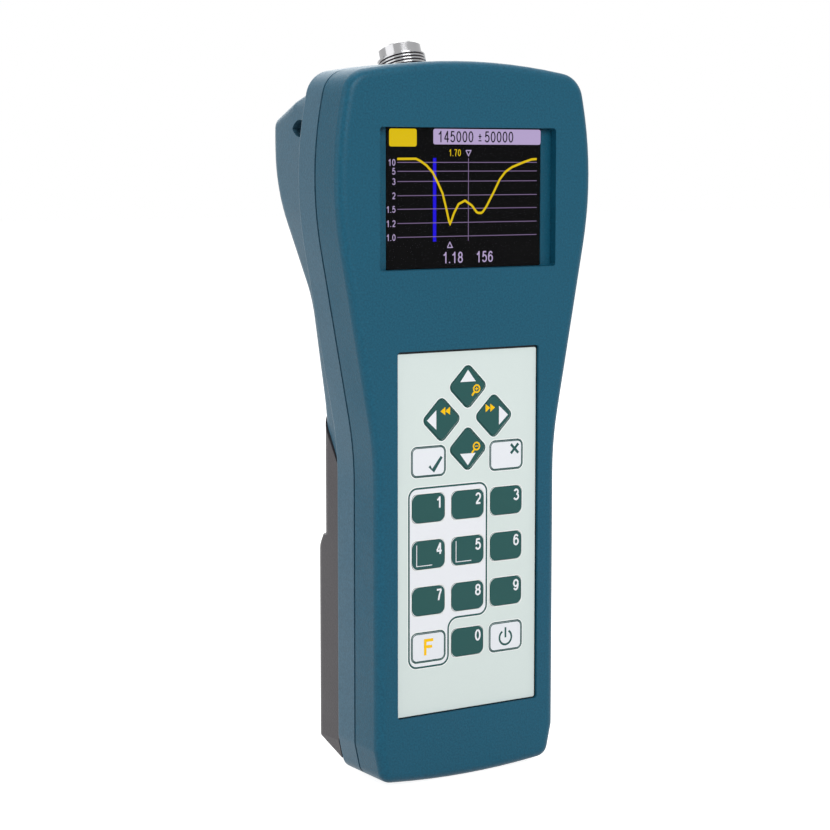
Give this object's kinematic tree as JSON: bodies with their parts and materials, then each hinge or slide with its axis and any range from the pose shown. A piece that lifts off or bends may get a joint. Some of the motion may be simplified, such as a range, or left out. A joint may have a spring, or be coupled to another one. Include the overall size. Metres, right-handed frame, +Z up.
{
  "type": "handheld antenna analyzer",
  "caption": "Handheld antenna analyzer with a colour display, a keypad, a tilted antenna connector on its head and a battery cover behind.",
  "frame": {"origin": "under the middle of the case, at the height of its foot", "axes": "+Z up the case's height, -Y the face with display and keys, +X the right-hand side seen from the front"},
  "size_m": [0.0952, 0.054, 0.2348],
  "materials": {
    "front_plastic": "moulded blue-green plastic, finely textured",
    "rear_plastic": "moulded grey-blue plastic, finely textured",
    "cover_plastic": "moulded warm grey plastic, finely textured",
    "window": "clear polished",
    "display": "black glass and frame",
    "overlay": "printed light plastic",
    "key_green": "printed dark green",
    "key_white": "printed white",
    "board": "solder mask",
    "sheet_metal": "tinned",
    "spring_metal": "nickel plated",
    "black_plastic": "moulded",
    "cell": "printed sleeve",
    "connector_metal": "bright nickel",
    "insulator": "white fluoropolymer",
    "contact_brass": "gold plated",
    "screw_steel": "zinc plated"
  },
  "bodies": {
    "case": {"front_shell": "front_plastic", "rear_shell": "rear_plastic", "display_window": "window", "lcd_panel": "display", "keypad_overlay": "overlay", "keypad_board": "board", "key_domes": "sheet_metal", "main_board": "board", "rf_shield": "sheet_metal", "buzzer": "black_plastic", "data_socket": "sheet_metal", "battery_1": "cell", "battery_2": "cell", "battery_3": "cell", "contact_plates": "spring_metal", "contact_springs": "spring_metal", "connector_body": "connector_metal", "connector_insulator": "insulator", "connector_contact": "contact_brass", "connector_washer": "connector_metal", "connector_nut": "connector_metal", "case_screws": "screw_steel", "board_screws": "screw_steel"},
    "cover": {"battery_cover": "cover_plastic"},
    "key_up": {"key_up": "key_green"},
    "key_left": {"key_left": "key_green"},
    "key_right": {"key_right": "key_green"},
    "key_down": {"key_down": "key_green"},
    "key_ok": {"key_ok": "key_white"},
    "key_cancel": {"key_cancel": "key_white"},
    "key_1": {"key_1": "key_green"},
    "key_2": {"key_2": "key_green"},
    "key_3": {"key_3": "key_green"},
    "key_4": {"key_4": "key_green"},
    "key_5": {"key_5": "key_green"},
    "key_6": {"key_6": "key_green"},
    "key_7": {"key_7": "key_green"},
    "key_8": {"key_8": "key_green"},
    "key_9": {"key_9": "key_green"},
    "key_f": {"key_f": "key_white"},
    "key_0": {"key_0": "key_green"},
    "key_power": {"key_power": "key_white"}
  },
  "joints": [
    {"name": "cover_lift", "type": "slide", "parent": "case", "child": "cover", "axis": [0, 1, 0], "range_m": [0, 0.03]},
    {"name": "key_up_press", "type": "slide", "parent": "case", "child": "key_up", "axis": [0, 1, 0], "range_m": [0, 0.0004], "stiffness_N_per_m": 200},
    {"name": "key_left_press", "type": "slide", "parent": "case", "child": "key_left", "axis": [0, 1, 0], "range_m": [0, 0.0004], "stiffness_N_per_m": 200},
    {"name": "key_right_press", "type": "slide", "parent": "case", "child": "key_right", "axis": [0, 1, 0], "range_m": [0, 0.0004], "stiffness_N_per_m": 200},
    {"name": "key_down_press", "type": "slide", "parent": "case", "child": "key_down", "axis": [0, 1, 0], "range_m": [0, 0.0004], "stiffness_N_per_m": 200},
    {"name": "key_ok_press", "type": "slide", "parent": "case", "child": "key_ok", "axis": [0, 1, 0], "range_m": [0, 0.0004], "stiffness_N_per_m": 200},
    {"name": "key_cancel_press", "type": "slide", "parent": "case", "child": "key_cancel", "axis": [0, 1, 0], "range_m": [0, 0.0004], "stiffness_N_per_m": 200},
    {"name": "key_1_press", "type": "slide", "parent": "case", "child": "key_1", "axis": [0, 1, 0], "range_m": [0, 0.0004], "stiffness_N_per_m": 200},
    {"name": "key_2_press", "type": "slide", "parent": "case", "child": "key_2", "axis": [0, 1, 0], "range_m": [0, 0.0004], "stiffness_N_per_m": 200},
    {"name": "key_3_press", "type": "slide", "parent": "case", "child": "key_3", "axis": [0, 1, 0], "range_m": [0, 0.0004], "stiffness_N_per_m": 200},
    {"name": "key_4_press", "type": "slide", "parent": "case", "child": "key_4", "axis": [0, 1, 0], "range_m": [0, 0.0004], "stiffness_N_per_m": 200},
    {"name": "key_5_press", "type": "slide", "parent": "case", "child": "key_5", "axis": [0, 1, 0], "range_m": [0, 0.0004], "stiffness_N_per_m": 200},
    {"name": "key_6_press", "type": "slide", "parent": "case", "child": "key_6", "axis": [0, 1, 0], "range_m": [0, 0.0004], "stiffness_N_per_m": 200},
    {"name": "key_7_press", "type": "slide", "parent": "case", "child": "key_7", "axis": [0, 1, 0], "range_m": [0, 0.0004], "stiffness_N_per_m": 200},
    {"name": "key_8_press", "type": "slide", "parent": "case", "child": "key_8", "axis": [0, 1, 0], "range_m": [0, 0.0004], "stiffness_N_per_m": 200},
    {"name": "key_9_press", "type": "slide", "parent": "case", "child": "key_9", "axis": [0, 1, 0], "range_m": [0, 0.0004], "stiffness_N_per_m": 200},
    {"name": "key_f_press", "type": "slide", "parent": "case", "child": "key_f", "axis": [0, 1, 0], "range_m": [0, 0.0004], "stiffness_N_per_m": 200},
    {"name": "key_0_press", "type": "slide", "parent": "case", "child": "key_0", "axis": [0, 1, 0], "range_m": [0, 0.0004], "stiffness_N_per_m": 200},
    {"name": "key_power_press", "type": "slide", "parent": "case", "child": "key_power", "axis": [0, 1, 0], "range_m": [0, 0.0004], "stiffness_N_per_m": 200}
  ]
}
